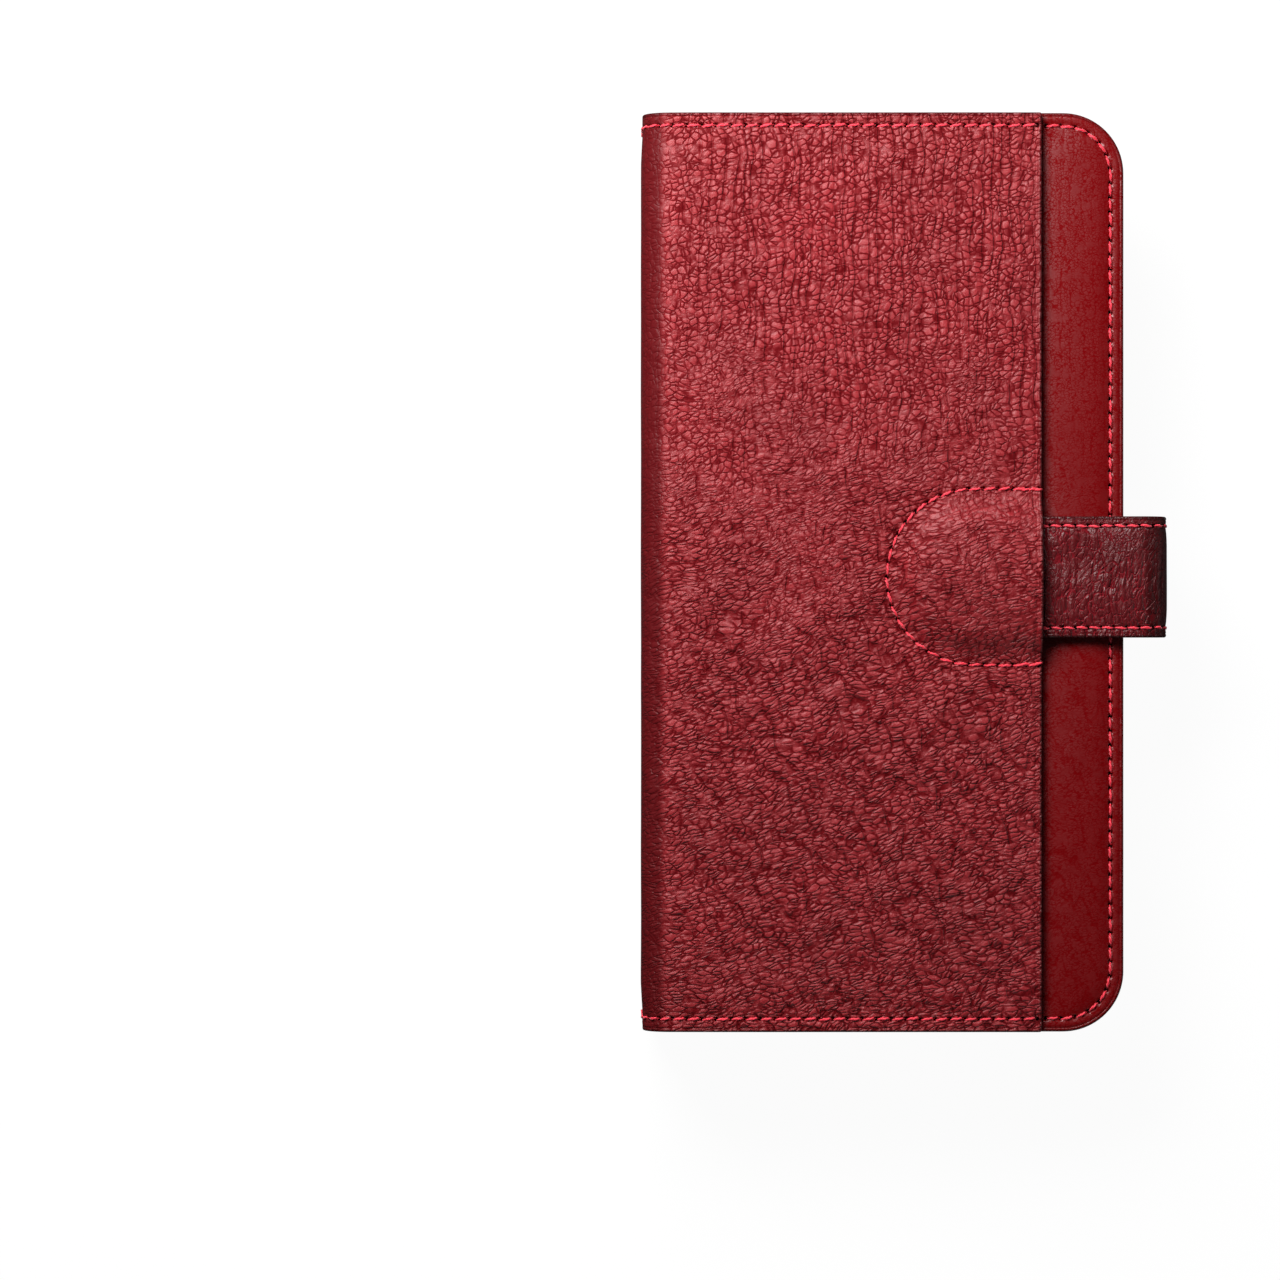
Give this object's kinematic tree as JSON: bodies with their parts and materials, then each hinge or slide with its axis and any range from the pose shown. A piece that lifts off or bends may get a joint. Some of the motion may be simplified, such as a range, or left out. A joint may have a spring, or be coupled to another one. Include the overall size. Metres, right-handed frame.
{
  "type": "phone wallet case",
  "caption": "Book-shaped leather phone wallet with a strap that tucks into a half-round sleeve, a phone pouch and card slots.",
  "frame": {"origin": "middle of the case's footprint, at the back cover's outer face, on the surface that it lies on", "axes": "+X towards the opening edge and the strap, the spine is at -X; +Y towards the top edge, where the phone pouch opens; +Z from the back cover to the front cover"},
  "size_m": [0.109, 0.19, 0.0306],
  "materials": {
    "grain_leather": "pebbled grain, dyed oxblood red, semi-gloss, red thread stitching",
    "smooth_leather": "smooth glazed leather, deep red",
    "strap_leather": "coarse grained leather, dark maroon",
    "lining_leather": "thin smooth lining leather, dark red, matte",
    "board": "plain grey-brown board"
  },
  "bodies": {
    "back_cover": {"back_leather": "grain_leather", "back_board": "board", "back_lining": "lining_leather", "phone_pouch_gusset": "lining_leather", "phone_pouch_panel": "lining_leather", "strap_base_outer": "strap_leather", "strap_base_lining": "lining_leather"},
    "spine": {"spine_leather": "grain_leather", "spine_board": "board", "spine_lining": "lining_leather"},
    "front_cover": {"front_panel": "grain_leather", "front_base_leather": "smooth_leather", "front_board": "board", "front_lining": "lining_leather", "bill_pocket_panel": "lining_leather", "card_slot_1": "lining_leather", "card_slot_2": "lining_leather", "card_slot_3": "lining_leather", "card_slot_4": "lining_leather", "card_slot_5": "lining_leather", "card_slot_6": "lining_leather"},
    "strap_riser": {"strap_riser_outer": "strap_leather", "strap_riser_lining": "lining_leather"},
    "strap_tongue": {"strap_tongue_outer": "strap_leather", "strap_tongue_lining": "lining_leather"}
  },
  "joints": [
    {"name": "spine_fold", "type": "hinge", "parent": "back_cover", "child": "spine", "pos_m": [-0.05274, 0, 0.00176], "axis": [0, -1, 0], "range_deg": [0, 90]},
    {"name": "cover_fold", "type": "hinge", "parent": "spine", "child": "front_cover", "pos_m": [-0.05274, 0, 0.02624], "axis": [0, -1, 0], "range_deg": [0, 90]},
    {"name": "strap_root", "type": "hinge", "parent": "back_cover", "child": "strap_riser", "pos_m": [0.0526, -0.001, 0.0052], "axis": [0, 1, 0], "range_deg": [0, 90]},
    {"name": "strap_bend", "type": "hinge", "parent": "strap_riser", "child": "strap_tongue", "pos_m": [0.05304, -0.001, 0.02774], "axis": [0, 1, 0], "range_deg": [0, 90], "deforming": ["strap_tongue_outer", "strap_tongue_lining"]}
  ],
  "couplings": [
    {"joint": "strap_bend", "follows": "strap_root", "ratio": 1}
  ]
}
